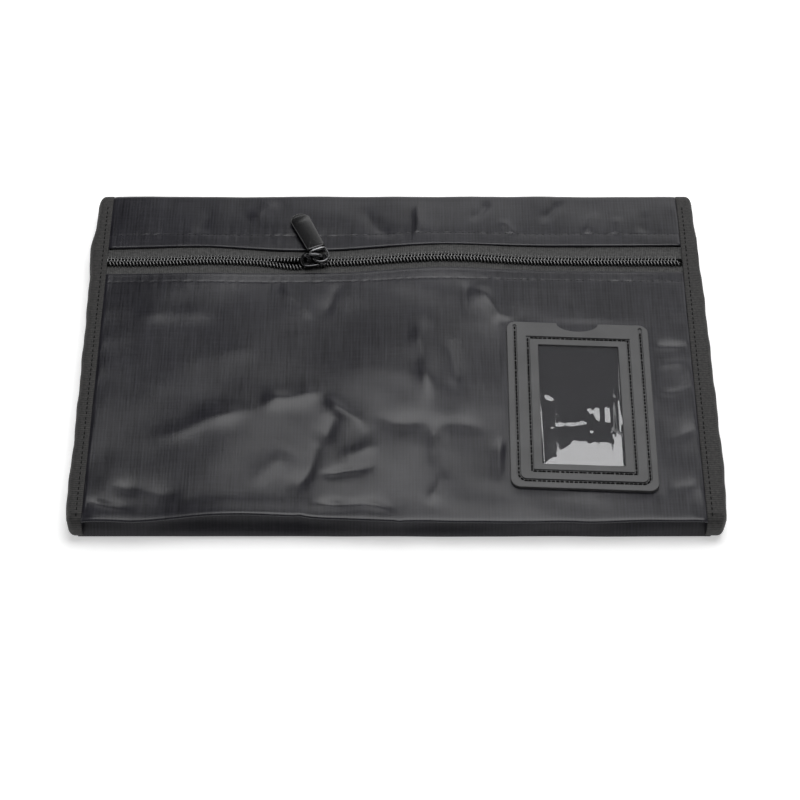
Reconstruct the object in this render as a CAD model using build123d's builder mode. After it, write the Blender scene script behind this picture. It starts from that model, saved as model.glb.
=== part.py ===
"""Flat zipped fire-resistant pouch for lithium batteries, lying on its back.

Frame: origin at the bottom centre of the bounding box, +X along the zip,
+Y from the folded front edge towards the zip and the rear fold, +Z up.
Every woven piece is a plain closed sheet of its real thickness.
"""
from build123d import *

import math
import os

# Driving dimensions, millimetres and degrees
BAG_WIDTH = 301.0  # over both side bindings
BAG_DEPTH = 205.4  # front edge to rear fold
TOP_HEIGHT = 13.0  # upper face of the front panel
REAR_HEIGHT = 10.0  # upper face where it meets the rear fold
SLOPE_START = 76.0  # where the top band begins to fall to the rear fold
REAR_FOLD_RADIUS = 4.0
FRONT_EDGE_RADIUS = 2.4

BINDING_THICKNESS = 0.6
FABRIC_THICKNESS = 1.0
LINER_THICKNESS = 0.8
BINDING_WIDTH_LEFT = 7.2
BINDING_WIDTH_RIGHT = 9.4
GUSSET_SETBACK = 0.6  # the front panel's lip overhangs the gusset
BACK_SEAM_INSET = 8.0  # seam under the bag, ahead of the rear fold
BACK_PRESSED_EDGE = 3.0  # thinner margin of the back panel at its ends
BACK_SIDE_GAP = 0.5
LINER_INSET = 3.0
LINER_TAPE_GAP = 0.3

ZIP_Y = 55.0  # line where the two coils meet
LOWER_FABRIC_EDGE = 47.8
UPPER_FABRIC_EDGE = 63.8
TAPE_WIDTH = 17.4
TAPE_THICKNESS = 0.5
COIL_GAP = 1.4  # between the two coil bars, where the slider's post runs
COIL_WIDTH = 2.1
COIL_HEIGHT = 2.0
COIL_CORNER = 0.7
COIL_END_GAP = 0.2  # between the coils' ends and the bindings
CORD_RADIUS = 0.45

STITCH_WIDTH = 0.5
STITCH_HEIGHT = 0.25
STITCH_UPPER_Y = 72.2
STITCH_LOWER_Y = 42.0
STITCH_FROM_BINDING_EDGE = 2.4
STITCH_FRONT_INSET = 4.0
STITCH_REAR_INSET = 6.0

ID_CENTRE = (86.6, -35.4)
ID_TURN = -2.6
ID_WIDTH = 68.0
ID_HEIGHT = 98.4
ID_THICKNESS = 2.1
ID_CORNER = 4.6
ID_OPENING = (38.3, 70.9)
ID_INNER_STITCH = (48.1, 79.4)
ID_OUTER_STITCH_WIDTH = 60.3
ID_OUTER_STITCH_LOW = -45.2
ID_OUTER_STITCH_HIGH = 46.6
ID_NOTCH_WIDTH = 20.0
ID_NOTCH_DEPTH = 5.0
CARD_GAP = 0.8
CARD_SLOT_WIDTH = 56.0
CARD_SLOT_MARGIN = 6.0
FILM_MARGIN = 1.5
FILM_THICKNESS = 0.3
GROOVE_WIDTH = 1.2
GROOVE_DEPTH = 0.35

SLIDER_X = -40.9  # centre of the slider at rest
SLIDER_LENGTH = 13.4
SLIDER_SHOULDER = 9.3
SLIDER_TAIL = 7.4
SLIDER_NOSE = (1.6, 1.2)  # length and depth of its chamfer
SLIDER_TAPER_START = 0.8
SLIDER_CORNER = 0.8
SLIDER_PLATE = 1.0
RUNNING_GAP = 0.35
POST_LENGTH = 3.3
POST_INSET = 1.4
CROWN_LENGTH = 8.8
CROWN_WIDTH = 2.0
CROWN_FOOT = 1.5
CROWN_TUNNEL = 2.4
CROWN_BAR = 1.2

LINK_WIRE = 1.3
LINK_INSIDE_RADIUS = 3.2
LINK_OFFSET = 1.0  # centre of the link's round end, ahead of the crown's right foot
LINK_BAR_REACH = 4.5  # from that centre to the link's straight bar
LINK_CORNER = 0.9
LINK_LIFT = 0.75  # underside of the link above the slider's top plate
PULL_HEADING = 113.5  # direction of the pull tab in plan, from +X

TAB_REACH = 31.5  # centre of the link's round end to the tab's tip
TAB_START = 5.5
TAB_BASE_WIDTH = 9.2
TAB_TIP_WIDTH = 10.2
TAB_DROOP = 2.5
TAB_CORE_THICKNESS = 0.7
TAB_COVER_THICKNESS = 1.9
TAB_COVER_ROUNDING = 0.5
TAB_CORE_INSET = 1.3
TAB_NECK_GAP = 0.6
BARREL_RADIUS = 1.1
BARREL_CLEARANCE = 0.05
BARREL_END_GAP = 0.3

# Places that follow from them
x_side = BAG_WIDTH / 2
y_edge = BAG_DEPTH / 2
y_cloth = y_edge - BINDING_THICKNESS
x_cloth = x_side - BINDING_THICKNESS
x_left_inner = -x_side + BINDING_WIDTH_LEFT
x_right_inner = x_side - BINDING_WIDTH_RIGHT
z_cloth = BINDING_THICKNESS
z_under_fabric = TOP_HEIGHT - FABRIC_THICKNESS
z_tape = z_under_fabric - TAPE_THICKNESS
z_coil_top = z_under_fabric + COIL_HEIGHT
tape_inner = COIL_GAP / 2
liner_front_end = ZIP_Y - TAPE_WIDTH - LINER_TAPE_GAP
liner_top_start = ZIP_Y + TAPE_WIDTH + LINER_TAPE_GAP
z_plate_low = z_coil_top + RUNNING_GAP
z_plate_high = z_plate_low + SLIDER_PLATE
z_crown_inside = z_plate_high + CROWN_TUNNEL
z_crown_top = z_crown_inside + CROWN_BAR
foot_x = SLIDER_X + CROWN_LENGTH / 2 - CROWN_FOOT / 2
z_link = z_plate_high + LINK_LIFT + LINK_WIRE / 2

os.makedirs("parts", exist_ok=True)


def side_outline(grow):
    """Profile of the closed bag seen from the end, grown outwards by grow."""
    with BuildSketch() as profile:
        with BuildLine():
            Polyline(
                (-y_cloth, z_cloth),
                (-y_cloth, TOP_HEIGHT),
                (SLOPE_START, TOP_HEIGHT),
                (y_cloth, REAR_HEIGHT),
                (y_cloth, z_cloth),
                close=True,
            )
        make_face()
        fillet(profile.vertices().group_by(Axis.X)[-1], radius=REAR_FOLD_RADIUS)
        fillet(profile.vertices().group_by(Axis.X)[0], radius=FRONT_EDGE_RADIUS)
        if grow:
            offset(amount=grow)
    return profile.sketch_local


def sheet_ring(outside, inside, y_low, y_high, z_low, z_high):
    """The part of one cloth layer that lies between the given limits."""
    with BuildSketch() as ring:
        add(side_outline(outside))
        add(side_outline(inside), mode=Mode.SUBTRACT)
        with Locations(((y_low + y_high) / 2, (z_low + z_high) / 2)):
            Rectangle(y_high - y_low, z_high - z_low, mode=Mode.INTERSECT)
    return ring.sketch_local


def save(part, label):
    """Label one finished piece and write its STEP file."""
    part.label = label
    export_step(part, f"parts/{label}.step")


# Outer cloth: front panel, gusset, top band with the rear fold, back panel
far = BAG_DEPTH  # beyond every layer of the bag
low_cut = z_cloth + FABRIC_THICKNESS
y_back_seam = y_cloth - BACK_SEAM_INSET

with BuildPart() as front_panel:
    with BuildSketch(Plane.YZ):
        add(sheet_ring(0, -FABRIC_THICKNESS, -far, LOWER_FABRIC_EDGE, z_under_fabric, far))
    extrude(amount=x_cloth, both=True)
save(front_panel.part, "front_panel")

gusset_height = z_under_fabric - low_cut
with BuildPart() as bottom_gusset:
    with BuildSketch(Plane.YZ):
        gusset_y = -y_cloth + GUSSET_SETBACK + FABRIC_THICKNESS / 2
        with Locations((gusset_y, low_cut + gusset_height / 2)):
            Rectangle(FABRIC_THICKNESS, gusset_height)
    extrude(amount=x_cloth, both=True)
save(bottom_gusset.part, "bottom_gusset")

with BuildPart() as top_band:
    with BuildSketch(Plane.YZ):
        add(sheet_ring(0, -FABRIC_THICKNESS, UPPER_FABRIC_EDGE, far, low_cut, far))
        add(sheet_ring(0, -FABRIC_THICKNESS, y_back_seam, far, -far, low_cut))
    extrude(amount=x_cloth, both=True)
save(top_band.part, "top_band")

# The back panel is pressed thinner along its edges, where the bindings wrap under it
with BuildPart() as back_panel:
    with BuildSketch(Plane.YZ):
        add(sheet_ring(0, -FABRIC_THICKNESS, -far, y_back_seam, -far, low_cut))
    extrude(amount=x_cloth, both=True)
    with BuildSketch():
        raised_width = x_right_inner - x_left_inner - 2 * BACK_SIDE_GAP
        raised_front = -y_cloth + BACK_PRESSED_EDGE
        with Locations(((x_left_inner + x_right_inner) / 2, (y_back_seam + raised_front) / 2)):
            Rectangle(raised_width, y_back_seam - raised_front)
    extrude(amount=z_cloth)
save(back_panel.part, "back_panel")

# Fire-resistant liner, one layer inside the outer cloth, open along the zip
liner_skin = (-FABRIC_THICKNESS, -FABRIC_THICKNESS - LINER_THICKNESS)
liner_cut = low_cut + LINER_THICKNESS
with BuildPart() as liner_front:
    with BuildSketch(Plane.YZ):
        add(sheet_ring(*liner_skin, -y_cloth + LINER_INSET, liner_front_end, liner_cut, far))
    extrude(amount=x_cloth, both=True)
save(liner_front.part, "liner_front")

with BuildPart() as liner_top:
    with BuildSketch(Plane.YZ):
        add(sheet_ring(*liner_skin, liner_top_start, far, liner_cut, far))
    extrude(amount=x_cloth, both=True)
save(liner_top.part, "liner_top")

with BuildPart() as liner_back:
    with BuildSketch(Plane.YZ):
        add(sheet_ring(*liner_skin, -y_cloth + LINER_INSET, far, -far, liner_cut))
    extrude(amount=x_cloth, both=True)
save(liner_back.part, "liner_back")

# Side bindings: a tape folded over the whole edge of the bag
for label, side, width in (
    ("binding_left", -1, BINDING_WIDTH_LEFT),
    ("binding_right", 1, BINDING_WIDTH_RIGHT),
):
    with BuildPart() as binding:
        with BuildSketch(Plane.YZ.offset(side * x_side)):
            add(side_outline(BINDING_THICKNESS))
        extrude(amount=-side * BINDING_THICKNESS)
        with BuildSketch(Plane.YZ.offset(side * x_side)):
            add(side_outline(BINDING_THICKNESS))
            add(side_outline(0), mode=Mode.SUBTRACT)
        extrude(amount=-side * width)
    save(binding.part, label)

# Zip: two tapes, two coils and the cords inside the coils
chain_start = Plane.YZ.offset(x_left_inner + COIL_END_GAP)
chain_run = x_right_inner - x_left_inner - 2 * COIL_END_GAP
for label, side in (("lower", -1), ("upper", 1)):
    with BuildPart() as tape:
        with BuildSketch(Plane.XY.offset(z_tape)):
            with Locations((0, ZIP_Y + side * (tape_inner + TAPE_WIDTH) / 2)):
                Rectangle(2 * x_cloth, TAPE_WIDTH - tape_inner)
        extrude(amount=TAPE_THICKNESS)
    save(tape.part, f"zip_tape_{label}")

    coil_centre = (ZIP_Y + side * (tape_inner + COIL_WIDTH / 2), z_under_fabric + COIL_HEIGHT / 2)
    with BuildPart() as coil:
        with BuildSketch(chain_start):
            with Locations(coil_centre):
                RectangleRounded(COIL_WIDTH, COIL_HEIGHT, COIL_CORNER)
                Circle(CORD_RADIUS, mode=Mode.SUBTRACT)
        extrude(amount=chain_run)
    save(coil.part, f"zip_coil_{label}")

    with BuildPart() as cord:
        with BuildSketch(chain_start):
            with Locations(coil_centre):
                Circle(CORD_RADIUS)
        extrude(amount=chain_run)
    save(cord.part, f"zip_cord_{label}")

# Stitch rows on the cloth
stitch_run = x_right_inner - x_left_inner
for label, row_y in (("stitch_zip_upper", STITCH_UPPER_Y), ("stitch_zip_lower", STITCH_LOWER_Y)):
    with BuildPart() as row:
        with BuildSketch(Plane.XY.offset(TOP_HEIGHT)):
            with Locations(((x_left_inner + x_right_inner) / 2, row_y)):
                Rectangle(stitch_run, STITCH_WIDTH)
        extrude(amount=STITCH_HEIGHT)
    save(row.part, label)

for label, row_x in (
    ("stitch_binding_left", x_left_inner - STITCH_FROM_BINDING_EDGE),
    ("stitch_binding_right", x_right_inner + STITCH_FROM_BINDING_EDGE),
):
    with BuildPart() as row:
        with BuildSketch(Plane.YZ.offset(row_x)):
            thread = (BINDING_THICKNESS + STITCH_HEIGHT, BINDING_THICKNESS)
            row_ends = (-y_cloth + STITCH_FRONT_INSET, y_cloth - STITCH_REAR_INSET)
            add(sheet_ring(*thread, *row_ends, TOP_HEIGHT / 2, far))
        extrude(amount=STITCH_WIDTH / 2, both=True)
    save(row.part, label)

# Card holder: moulded frame over a pocket, clear film behind its opening
id_plane = Plane(origin=(*ID_CENTRE, TOP_HEIGHT)).rotated((0, 0, ID_TURN))
pocket_top = CARD_GAP + FILM_THICKNESS


def groove_path(width, low, high, closed):
    """Sketch of a stitch groove's centre band, as a frame or as a U open at the top."""
    with BuildSketch() as band:
        with Locations((0, (low + high) / 2)):
            Rectangle(width + GROOVE_WIDTH, high - low + GROOVE_WIDTH)
            Rectangle(width - GROOVE_WIDTH, high - low - GROOVE_WIDTH, mode=Mode.SUBTRACT)
        if not closed:
            with Locations((0, high + GROOVE_WIDTH)):
                Rectangle(width - GROOVE_WIDTH, 4 * GROOVE_WIDTH, mode=Mode.SUBTRACT)
    return band.sketch_local


inner_half = ID_INNER_STITCH[1] / 2
id_rows = {
    "stitch_id_outer": (ID_OUTER_STITCH_WIDTH, ID_OUTER_STITCH_LOW, ID_OUTER_STITCH_HIGH, False),
    "stitch_id_inner": (ID_INNER_STITCH[0], -inner_half, inner_half, True),
}
with BuildPart() as id_frame:
    with BuildSketch(id_plane):
        RectangleRounded(ID_WIDTH, ID_HEIGHT, ID_CORNER)
        Rectangle(*ID_OPENING, mode=Mode.SUBTRACT)
    extrude(amount=ID_THICKNESS)
    with BuildSketch(id_plane):
        with Locations((0, ID_HEIGHT / 2)):
            Ellipse(ID_NOTCH_WIDTH / 2, ID_NOTCH_DEPTH)
    extrude(amount=ID_THICKNESS, mode=Mode.SUBTRACT)
    with BuildSketch(id_plane):
        slot_height = ID_INNER_STITCH[1] + 2 * CARD_SLOT_MARGIN
        with Locations((0, (ID_HEIGHT - slot_height) / 2)):
            Rectangle(CARD_SLOT_WIDTH, slot_height)
    extrude(amount=pocket_top, mode=Mode.SUBTRACT)
    with BuildSketch(id_plane.offset(ID_THICKNESS)):
        for row in id_rows.values():
            add(groove_path(*row))
    extrude(amount=-GROOVE_DEPTH, mode=Mode.SUBTRACT)
save(id_frame.part, "id_frame")

with BuildPart() as id_window:
    with BuildSketch(id_plane.offset(CARD_GAP)):
        Rectangle(ID_INNER_STITCH[0] + 2 * FILM_MARGIN, ID_INNER_STITCH[1] + 2 * FILM_MARGIN)
    extrude(amount=FILM_THICKNESS)
save(id_window.part, "id_window")

for label, row in id_rows.items():
    with BuildPart() as thread:
        with BuildSketch(id_plane.offset(ID_THICKNESS - GROOVE_DEPTH)):
            add(groove_path(*row))
            add(offset(groove_path(*row), amount=-GROOVE_WIDTH / 4, mode=Mode.PRIVATE),
                mode=Mode.INTERSECT)
        extrude(amount=STITCH_HEIGHT)
    save(thread.part, label)

# Slider: top plate with its flanges, bottom plate, post and crown in one casting
half = SLIDER_LENGTH / 2
slider_plan = Plane(origin=(SLIDER_X, ZIP_Y, 0))
with BuildSketch() as slider_shape:
    with BuildLine():
        Polyline(
            (-half, SLIDER_SHOULDER / 2 - SLIDER_NOSE[1]),
            (-half + SLIDER_NOSE[0], SLIDER_SHOULDER / 2),
            (SLIDER_TAPER_START, SLIDER_SHOULDER / 2),
            (half, SLIDER_TAIL / 2),
            (half, -SLIDER_TAIL / 2),
            (SLIDER_TAPER_START, -SLIDER_SHOULDER / 2),
            (-half + SLIDER_NOSE[0], -SLIDER_SHOULDER / 2),
            (-half, -SLIDER_SHOULDER / 2 + SLIDER_NOSE[1]),
            close=True,
        )
    make_face()
    fillet(slider_shape.vertices(), radius=SLIDER_CORNER)

channel_half = tape_inner + COIL_WIDTH + RUNNING_GAP
z_flange = z_under_fabric + RUNNING_GAP
z_lower_plate = z_tape - RUNNING_GAP
with BuildPart() as slider_body:
    with BuildSketch(slider_plan.offset(z_flange)):
        add(slider_shape.sketch_local)
        Rectangle(2 * SLIDER_LENGTH, 2 * channel_half, mode=Mode.SUBTRACT)
    extrude(amount=z_plate_high - z_flange)
    with BuildSketch(slider_plan.offset(z_plate_low)):
        add(slider_shape.sketch_local)
    extrude(amount=SLIDER_PLATE)
    with BuildSketch(slider_plan.offset(z_lower_plate)):
        add(slider_shape.sketch_local)
    extrude(amount=-SLIDER_PLATE)
    with BuildSketch(slider_plan.offset(z_lower_plate)):
        with Locations((-half + POST_INSET + POST_LENGTH / 2, 0)):
            Rectangle(POST_LENGTH, COIL_GAP - 2 * RUNNING_GAP)
    extrude(amount=z_plate_low - z_lower_plate)
    with BuildSketch(Plane.XZ.offset(-ZIP_Y)) as crown:
        with Locations((SLIDER_X, (z_plate_high + z_crown_top) / 2)):
            Rectangle(CROWN_LENGTH, z_crown_top - z_plate_high)
        fillet(crown.vertices().group_by(Axis.Y)[-1], radius=CROWN_FOOT)
        with Locations((SLIDER_X, z_plate_high + CROWN_TUNNEL / 2)):
            Rectangle(CROWN_LENGTH - 2 * CROWN_FOOT, CROWN_TUNNEL, mode=Mode.SUBTRACT)
    extrude(amount=CROWN_WIDTH / 2, both=True)
save(slider_body.part, "slider_body")

# Link: a wire ring round the crown's right foot, with a straight bar for the tab
heading = math.radians(PULL_HEADING)
along = Vector(math.cos(heading), math.sin(heading), 0)
foot = Vector(foot_x, ZIP_Y, z_link)
link_plane = Plane(origin=foot + along * LINK_OFFSET, x_dir=along)
link_half = LINK_INSIDE_RADIUS + LINK_WIRE / 2
with BuildPart() as pull_link:
    with BuildLine(link_plane) as wire:
        CenterArc((0, 0), link_half, 90, 180)
        ends = FilletPolyline(
            (0, link_half),
            (LINK_BAR_REACH, link_half),
            (LINK_BAR_REACH, -link_half),
            (0, -link_half),
            radius=LINK_CORNER,
        )
    with BuildSketch(Plane(origin=ends @ 0, z_dir=ends % 0)):
        Circle(LINK_WIRE / 2)
    sweep()
save(pull_link.part, "pull_link")

# Pull tab: a metal core rolled round the link's bar, with a moulded cover over it
droop = math.radians(TAB_DROOP)
bar = link_plane.origin + along * LINK_BAR_REACH
tab_out = along * math.cos(droop) + Vector(0, 0, -math.sin(droop))
tab_plane = Plane(origin=bar, x_dir=tab_out, z_dir=tab_out.cross(Vector(0, 0, 1).cross(tab_out)))
tab_tip = TAB_REACH - LINK_BAR_REACH
tab_base = TAB_START - LINK_BAR_REACH
tip_radius = TAB_TIP_WIDTH / 2
neck = 2 * (link_half - LINK_CORNER) - 2 * BARREL_END_GAP


def tab_outline(base, base_width, tip, radius):
    """Plan of the tab: straight sides that widen to a round tip."""
    with BuildSketch() as plan:
        with BuildLine():
            Line((tip - radius, radius), (base, base_width / 2))
            Line((base, base_width / 2), (base, -base_width / 2))
            Line((base, -base_width / 2), (tip - radius, -radius))
            RadiusArc((tip - radius, -radius), (tip - radius, radius), -radius)
        make_face()
    return plan.sketch_local


core_base = tab_base + TAB_NECK_GAP
core_tip = tab_tip - TAB_CORE_INSET
core_width = TAB_BASE_WIDTH - 2 * TAB_CORE_INSET
with BuildPart() as pull_tab_core:
    with BuildSketch(tab_plane.offset(-TAB_CORE_THICKNESS / 2)):
        add(tab_outline(core_base, core_width, core_tip, tip_radius - TAB_CORE_INSET))
        with Locations((core_base / 2, 0)):
            Rectangle(core_base, neck)
    extrude(amount=TAB_CORE_THICKNESS)
    with BuildSketch(Plane(origin=bar, x_dir=tab_out, z_dir=tab_plane.y_dir)):
        Circle(BARREL_RADIUS)
    extrude(amount=neck / 2, both=True)
    with BuildSketch(Plane(origin=bar, x_dir=tab_out, z_dir=tab_plane.y_dir)):
        Circle(LINK_WIRE / 2 + BARREL_CLEARANCE)
    extrude(amount=neck, both=True, mode=Mode.SUBTRACT)
save(pull_tab_core.part, "pull_tab_core")

with BuildPart() as pull_tab_cover:
    with BuildSketch(tab_plane.offset(-TAB_COVER_THICKNESS / 2)):
        add(tab_outline(tab_base, TAB_BASE_WIDTH, tab_tip, tip_radius))
    extrude(amount=TAB_COVER_THICKNESS)
    top_face = pull_tab_cover.faces().sort_by(Axis(bar, tab_plane.z_dir))[-1]
    fillet(top_face.edges(), radius=TAB_COVER_ROUNDING)
    add(pull_tab_core.part, mode=Mode.SUBTRACT)
save(pull_tab_cover.part, "pull_tab_cover")
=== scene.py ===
import math

import bpy
import numpy as np
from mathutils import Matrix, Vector


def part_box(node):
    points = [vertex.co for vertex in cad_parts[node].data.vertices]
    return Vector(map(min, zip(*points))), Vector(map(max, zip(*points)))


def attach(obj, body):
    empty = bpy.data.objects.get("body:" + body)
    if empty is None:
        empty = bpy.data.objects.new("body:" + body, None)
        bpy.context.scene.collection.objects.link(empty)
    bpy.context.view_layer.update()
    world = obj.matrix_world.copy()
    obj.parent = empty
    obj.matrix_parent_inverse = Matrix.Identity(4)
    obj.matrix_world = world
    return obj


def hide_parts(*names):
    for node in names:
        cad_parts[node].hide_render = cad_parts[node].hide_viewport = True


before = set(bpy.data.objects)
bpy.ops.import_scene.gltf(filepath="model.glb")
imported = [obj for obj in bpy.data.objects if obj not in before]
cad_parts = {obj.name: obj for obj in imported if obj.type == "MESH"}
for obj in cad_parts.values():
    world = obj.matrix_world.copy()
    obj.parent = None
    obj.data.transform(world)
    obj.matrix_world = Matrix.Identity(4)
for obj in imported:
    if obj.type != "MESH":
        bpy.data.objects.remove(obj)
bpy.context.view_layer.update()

# Flat zipped battery bag, lying on its back. Shapes are worked out in millimetres in the
# frame's own axes, and turned into metres only where a mesh is made.
MM = 0.001
random = np.random.default_rng(11)


def span(node):
    """Lowest and highest corner of a CAD node, in millimetres."""
    low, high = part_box(node)
    return np.array(low) / MM, np.array(high) / MM


# ---------------------------------------------------------------- places from the frame
BINDING_L, BINDING_R = span("binding_left"), span("binding_right")
X_LEFT, X_RIGHT = BINDING_L[1][0], BINDING_R[0][0]
X_OUT_LEFT, X_OUT_RIGHT = BINDING_L[0][0], BINDING_R[1][0]
Y_FRONT, Y_REAR = BINDING_L[0][1], BINDING_L[1][1]
TOP = span("front_panel")[1][2]
Y_LIP = span("front_panel")[0][1]
Y_FOLD = span("top_band")[1][1]
HEM_LOWER, HEM_UPPER = span("front_panel")[1][1], span("top_band")[0][1]
COIL_LOW, COIL_HIGH = span("zip_coil_lower"), span("zip_coil_upper")
ZIP_Y = (COIL_LOW[0][1] + COIL_HIGH[1][1]) / 2
Z_COIL = (COIL_LOW[0][2] + COIL_LOW[1][2]) / 2
Z_TAPE = span("zip_tape_lower")[1][2]
TAPE_HALF = ZIP_Y - span("zip_tape_lower")[0][1]
SLIDER = span("slider_body")
SLIDER_X = (SLIDER[0][0] + SLIDER[1][0]) / 2
ROW_UPPER_Y = sum(s[1] for s in span("stitch_zip_upper")) / 2
ROW_LOWER_Y = sum(s[1] for s in span("stitch_zip_lower")) / 2
ROW_LEFT_X = sum(s[0] for s in span("stitch_binding_left")) / 2
ROW_RIGHT_X = sum(s[0] for s in span("stitch_binding_right")) / 2
SLOPE_START = 76.0  # y where the top begins to fall to the rear fold
REAR_DROP = 1.7  # how far it has fallen at the fold
CLOTH = 0.35  # thickness of the visible cloth layer
HEM = 0.62  # height of a folded hem


# ---------------------------------------------------------------- small maths
def ease(t):
    t = np.clip(t, 0.0, 1.0)
    return t * t * (3 - 2 * t)


def bell(t):
    return np.exp(-(t ** 2))


def through(x, points):
    """Smooth curve through a few (x, value) points."""
    at, value = np.array(points, float).T
    slope = np.gradient(value, at)
    x = np.clip(np.asarray(x, float), at[0], at[-1])
    i = np.clip(np.searchsorted(at, x) - 1, 0, len(at) - 2)
    gap = at[i + 1] - at[i]
    t = (x - at[i]) / gap
    start = value[i] * (1 + 2 * t) * (1 - t) ** 2 + slope[i] * gap * t * (1 - t) ** 2
    return start + value[i + 1] * t * t * (3 - 2 * t) - slope[i + 1] * gap * t * t * (1 - t)


def ripple(x, y, wavelength, seed):
    """Gentle random undulation, about 1 high, from a few crossing waves."""
    rng = np.random.default_rng(seed)
    total, count = 0.0, 9
    for _ in range(count):
        angle, phase = rng.uniform(0, math.pi), rng.uniform(0, 2 * math.pi)
        k = 2 * math.pi / (wavelength * rng.uniform(0.7, 1.5))
        total = total + np.sin(k * (x * math.cos(angle) + y * math.sin(angle)) + phase)
    return total / math.sqrt(count)


# ---------------------------------------------------------------- form of the bag's top
BULGES = (  # x, y, spread in x, spread in y, height
    (22, 52, 34, 30, 2.0),
    (-92, 52, 25, 24, 0.9),
    (95, 60, 40, 30, 0.4),
    (-35, -42, 62, 34, 0.6),
    (60, -92, 70, 24, 0.4),
    (-35, 12, 40, 24, -0.5),
    (-4, -16, 42, 30, 1.3),
)
FOLDS = (  # start, end, half width, height (a valley where negative)
    ((-33, -25), (-66, -37), 5.5, 1.2),
    ((-58, -34), (-118, -55), 6.0, 0.96),
    ((-36, -28), (-13, -53), 4.4, 0.96),
    ((-24, -38), (-37, -58), 4.8, -0.7),
    ((-35, -52), (-49, -93), 4.6, -0.8),
    ((-52, -60), (-66, -84), 6.5, 0.48),
    ((-38, -75), (-8, -70), 2.6, -0.8),
    ((-30, -64), (-6, -60), 4.4, 0.48),
    ((-42, -92), (2, -94), 3.1, -1.2),
    ((-134, -82), (-96, -86), 4.2, -0.72),
    ((-147, -91), (-116, -95), 2.6, -0.8),
    ((19, -44), (17, -72), 3.8, -0.6),
    ((22, -72), (14, -93), 3.4, 0.48),
    ((-20, -42), (50, -50), 5.7, -0.8),
    ((-8, -36), (44, -42), 7.8, 0.24),
    ((48, -52), (46, -80), 3.9, -0.48),
    ((12, 26), (15, -42), 6.5, 1.4),
    ((24, 6), (31, -30), 5.0, -0.8),
    ((36, 39), (57, 14), 4.6, 1.1),
    ((33, 46), (33, 14), 3.4, -0.36),
    ((-56, 43), (-40, 17), 3.9, 0.48),
    ((-24, 43), (-40, 17), 3.9, -0.4),
    ((-130, 20), (-84, 21), 6.5, 0.48),
    ((-104, -10), (-60, 2), 7.8, 0.32),
    ((10, 99), (10, 64), 2.6, 0.64),
    ((37, 80), (46, 98), 2.9, -0.64),
    ((73, 79), (84, 99), 2.9, -0.64),
    ((94, 71), (99, 90), 2.6, 0.56),
    ((108, 71), (111, 86), 2.6, 0.56),
    ((58, 70), (52, 84), 2.9, 0.48),
    ((122, 72), (126, 90), 2.9, -0.48),
    ((-75, 83), (-60, 97), 4.4, 0.56),
    ((-98, 72), (-92, 92), 4.7, -0.4),
    ((-20, 92), (-2, 70), 4.4, -0.56),
    ((119, 1), (147, 3), 2.9, -0.56),
    ((121, -10), (148, -8), 3.4, 0.4),
    ((120, -27), (149, -23), 2.9, -0.56),
    ((121, -56), (147, -48), 3.6, -0.48),
    ((121, -85), (142, -80), 4.2, -0.48),
    ((137, -79), (144, -94), 2.9, 0.48),
)
RELIEF = ((0.32, 70, 3), (0.11, 33, 12), (0.04, 17, 8))  # height, wavelength, seed
# How far each edge strays from its straight line in y: (x, shift) points
LIP_BACK = ((-150, 0.3), (-112, 0.3), (-90, 1.9), (-62, 2.2), (-38, 1.3), (-2, 0.2), (150, 0.1))
UPPER_SHIFT = ((-150, 0.3), (-97, 1.2), (-55, -1.0), (26, 2.3), (75, 1.7), (150, 2.4))
LOWER_SHIFT = ((-150, -0.8), (-60, -0.5), (-25, 0.0), (22, 2.2), (70, 1.0), (150, 0.2))
CHAIN_SHIFT = ((-150, 0), (-115, 0), (-92, 0.5), (-62, -0.2), (-25, 0), (22, 1.8), (75, 0.2), (150, 0))
SEAM_DIP = (0.07, 0.09)  # under a stitched row: steady part, and what comes and goes with the stitches
EDGE_DIP = 0.35  # the cloth is drawn down where the binding is sewn over it
EDGE_REACH = 11.0  # the cloth lies calmer this near a binding
HOLDER_REACH = 5.0  # and this near the card holder


def seam_relief(x, y):
    """Dip under a stitched row, the puckers beside it and the double cloth of the hem."""
    total = 0.0
    for row, shift, side in ((ROW_UPPER_Y, UPPER_SHIFT, -1), (ROW_LOWER_Y, LOWER_SHIFT, 1)):
        from_row = y - row - 0.5 * through(x, shift)
        wobble = np.sin(x / 0.9 + 3 * np.sin(x / 11.0)) * np.sin(x / 6.7 + 1.0)
        total = total - (SEAM_DIP[0] + SEAM_DIP[1] * wobble) * bell(from_row / 0.6)
        total = total + 0.10 * ease(side * from_row / 4.0) * np.exp(-np.maximum(side * from_row - 9, 0))
        total = total + 0.06 * wobble * np.exp(-abs(from_row) / 4.0)
    return total


def lift(x, y):
    """Broad bulges, which the zip follows too, flat round the slider."""
    total = 0.0
    for at_x, at_y, wide, deep, height in BULGES:
        total = total + height * np.exp(-(((x - at_x) / wide) ** 2) - ((y - at_y) / deep) ** 2)
    calm = 1 - np.exp(-(((x - SLIDER_X) / 16) ** 2) - ((y - ZIP_Y) / 12) ** 2)
    return total * calm


def fold(x, y, start, end, half_width, height):
    """One crease: a rounded ridge along a wandering segment, running out at both ends."""
    (x0, y0), (x1, y1) = start, end
    length = math.hypot(x1 - x0, y1 - y0)
    ux, uy = (x1 - x0) / length, (y1 - y0) / length
    along = (x - x0) * ux + (y - y0) * uy
    across = -(x - x0) * uy + (y - y0) * ux
    across = across + 1.1 * np.sin(along / 8.5 + x0) + 0.45 * np.sin(along / 3.4 + y0)
    t = np.clip(along / length, 0, 1)
    uneven = 1 + 0.25 * np.sin(along / 4.7 + 3 * x0)
    run_out = ease(t / 0.35) * ease((1 - t) / 0.35)
    return height * uneven * run_out / (1 + (across / half_width) ** 2) ** 1.5


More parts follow.
